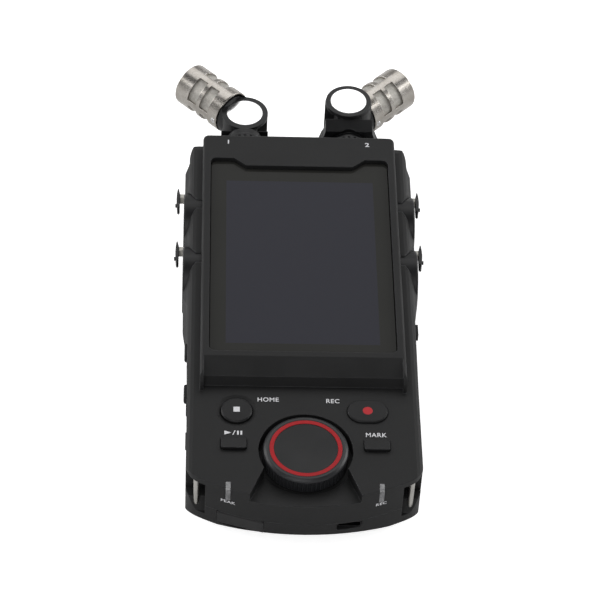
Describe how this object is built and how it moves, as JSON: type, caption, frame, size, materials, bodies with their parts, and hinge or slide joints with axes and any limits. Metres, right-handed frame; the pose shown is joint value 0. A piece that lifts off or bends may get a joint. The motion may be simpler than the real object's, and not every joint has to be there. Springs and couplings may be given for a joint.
{
  "type": "portable field recorder",
  "caption": "Handheld field recorder with two swivelling plug-in microphones, touch display, control deck with press-and-turn dial, side input jacks and a battery bay.",
  "frame": {"origin": "mouth of the 1/4-20 tripod thread in the back face, straight below the display centre", "axes": "+Z out of the display, +Y towards the microphones, +X to the right of the display"},
  "size_m": [0.085, 0.205, 0.0345],
  "materials": {
    "case_plastic": "fine moulded texture, satin",
    "display_glass": "polished black window",
    "display_panel": "unlit panel",
    "circuit_board": "solder mask",
    "cell_jacket": "printed jacket, plain",
    "spring_steel": "plated",
    "brass": "turned",
    "black_steel": "blackened",
    "speaker_black": "matte",
    "jack_plastic": "fine satin",
    "rubber_black": "soft matte",
    "light_pipe": "clear grey, unlit",
    "chrome": "polished",
    "cap_silver": "bright satin cap",
    "key_plastic": "satin",
    "dial_plastic": "semi gloss",
    "red_ring": "anodised red",
    "mic_plastic": "fine satin",
    "capsule_metal": "brushed champagne nickel",
    "wire_mesh": "woven wire"
  },
  "bodies": {
    "case": {"front_shell": "case_plastic", "rear_shell": "case_plastic", "touch_glass": "display_glass", "display_module": "display_panel", "main_board": "circuit_board", "input_board": "circuit_board", "aa_cells": "cell_jacket", "battery_contacts": "spring_steel", "tripod_insert": "brass", "case_screws": "black_steel", "loudspeaker": "speaker_black", "left_input_jacks": "jack_plastic", "right_input_jacks": "jack_plastic", "jack_cores": "jack_plastic", "lever_pins": "spring_steel", "phones_socket": "jack_plastic", "line_out_socket": "jack_plastic", "usb_port": "spring_steel", "card_socket": "spring_steel", "memory_card": "jack_plastic", "peak_light_pipe": "light_pipe", "rec_light_pipe": "light_pipe", "strap_bars": "black_steel", "tact_switches": "jack_plastic", "encoder_body": "jack_plastic", "mic_socket_left": "jack_plastic", "mic_socket_right": "jack_plastic"},
    "battery_door": {"battery_door": "case_plastic"},
    "card_door": {"card_door": "rubber_black"},
    "home_button": {"home_button": "key_plastic"},
    "record_button": {"record_button": "key_plastic"},
    "play_pause_key": {"play_pause_key": "key_plastic"},
    "mark_key": {"mark_key": "key_plastic"},
    "volume_up": {"volume_up_button": "key_plastic"},
    "volume_down": {"volume_down_button": "key_plastic"},
    "power_hold": {"power_hold_switch": "key_plastic"},
    "dial_carrier": {"encoder_plunger": "jack_plastic"},
    "dial": {"dial_knob": "dial_plastic", "dial_ring": "red_ring", "encoder_shaft": "spring_steel"},
    "lever_left_upper": {"release_lever_left_upper": "chrome"},
    "lever_left_lower": {"release_lever_left_lower": "chrome"},
    "mic_left_base": {"mic_plug_left": "spring_steel", "mic_base_left": "mic_plastic"},
    "mic_left_ring": {"lock_ring_left": "mic_plastic"},
    "mic_left_head": {"mic_hub_left": "mic_plastic", "mirror_caps_left": "cap_silver", "capsule_tube_left": "capsule_metal", "wire_mesh_left": "wire_mesh", "mic_capsule_left": "speaker_black"},
    "lever_right_upper": {"release_lever_right_upper": "chrome"},
    "lever_right_lower": {"release_lever_right_lower": "chrome"},
    "mic_right_base": {"mic_plug_right": "spring_steel", "mic_base_right": "mic_plastic"},
    "mic_right_ring": {"lock_ring_right": "mic_plastic"},
    "mic_right_head": {"mic_hub_right": "mic_plastic", "mirror_caps_right": "cap_silver", "capsule_tube_right": "capsule_metal", "wire_mesh_right": "wire_mesh", "mic_capsule_right": "speaker_black"}
  },
  "joints": [
    {"name": "home_press", "type": "slide", "parent": "case", "child": "home_button", "axis": [0, 0, -1], "range_m": [0, 0.0006], "stiffness_N_per_m": 800},
    {"name": "record_press", "type": "slide", "parent": "case", "child": "record_button", "axis": [0, 0, -1], "range_m": [0, 0.0006], "stiffness_N_per_m": 800},
    {"name": "play_press", "type": "slide", "parent": "case", "child": "play_pause_key", "axis": [0, 0, -1], "range_m": [0, 0.0006], "stiffness_N_per_m": 800},
    {"name": "mark_press", "type": "slide", "parent": "case", "child": "mark_key", "axis": [0, 0, -1], "range_m": [0, 0.0006], "stiffness_N_per_m": 800},
    {"name": "volume_up_press", "type": "slide", "parent": "case", "child": "volume_up", "axis": [1, 0, 0], "range_m": [0, 0.0005], "stiffness_N_per_m": 800},
    {"name": "volume_down_press", "type": "slide", "parent": "case", "child": "volume_down", "axis": [1, 0, 0], "range_m": [0, 0.0005], "stiffness_N_per_m": 800},
    {"name": "power_hold_slide", "type": "slide", "parent": "case", "child": "power_hold", "axis": [0, 1, 0], "range_m": [-0.0028, 0.0028]},
    {"name": "dial_press", "type": "slide", "parent": "case", "child": "dial_carrier", "axis": [0, 0, -1], "range_m": [0, 0.0005], "stiffness_N_per_m": 1500},
    {"name": "dial_turn", "type": "hinge", "parent": "dial_carrier", "child": "dial", "pos_m": [0.0004, -0.0773, 0.0301], "axis": [0, 0, 1], "continuous": true},
    {"name": "battery_door_lift", "type": "slide", "parent": "case", "child": "battery_door", "axis": [0, 0, -1], "range_m": [0, 0.012]},
    {"name": "card_door_open", "type": "hinge", "parent": "case", "child": "card_door", "pos_m": [-0.0194, -0.09344, 0.0121], "axis": [0.9576, -0.2882, 0], "range_deg": [0, 85]},
    {"name": "lever_left_upper_press", "type": "hinge", "parent": "case", "child": "lever_left_upper", "pos_m": [-0.0366, 0.042, 0.0187], "axis": [0, 0, 1], "range_deg": [0, 6], "stiffness_Nm_per_rad": 0.02},
    {"name": "lever_left_lower_press", "type": "hinge", "parent": "case", "child": "lever_left_lower", "pos_m": [-0.0366, 0.017, 0.0187], "axis": [0, 0, 1], "range_deg": [0, 6], "stiffness_Nm_per_rad": 0.02},
    {"name": "mic_left_unplug", "type": "slide", "parent": "case", "child": "mic_left_base", "axis": [0, 1, 0], "range_m": [0, 0.016]},
    {"name": "mic_left_lock", "type": "hinge", "parent": "mic_left_base", "child": "mic_left_ring", "pos_m": [-0.018, 0.0665, 0.0165], "axis": [0, 1, 0], "range_deg": [-90, 90]},
    {"name": "mic_left_swivel", "type": "hinge", "parent": "mic_left_base", "child": "mic_left_head", "pos_m": [-0.018, 0.0835, 0.0165], "axis": [0, 0, -1], "range_deg": [0, 65]},
    {"name": "lever_right_upper_press", "type": "hinge", "parent": "case", "child": "lever_right_upper", "pos_m": [0.0366, 0.042, 0.0187], "axis": [0, 0, -1], "range_deg": [0, 6], "stiffness_Nm_per_rad": 0.02},
    {"name": "lever_right_lower_press", "type": "hinge", "parent": "case", "child": "lever_right_lower", "pos_m": [0.0366, 0.017, 0.0187], "axis": [0, 0, -1], "range_deg": [0, 6], "stiffness_Nm_per_rad": 0.02},
    {"name": "mic_right_unplug", "type": "slide", "parent": "case", "child": "mic_right_base", "axis": [0, 1, 0], "range_m": [0, 0.016]},
    {"name": "mic_right_lock", "type": "hinge", "parent": "mic_right_base", "child": "mic_right_ring", "pos_m": [0.018, 0.0665, 0.0165], "axis": [0, 1, 0], "range_deg": [-90, 90]},
    {"name": "mic_right_swivel", "type": "hinge", "parent": "mic_right_base", "child": "mic_right_head", "pos_m": [0.018, 0.0835, 0.0165], "axis": [0, 0, 1], "range_deg": [0, 65]}
  ]
}
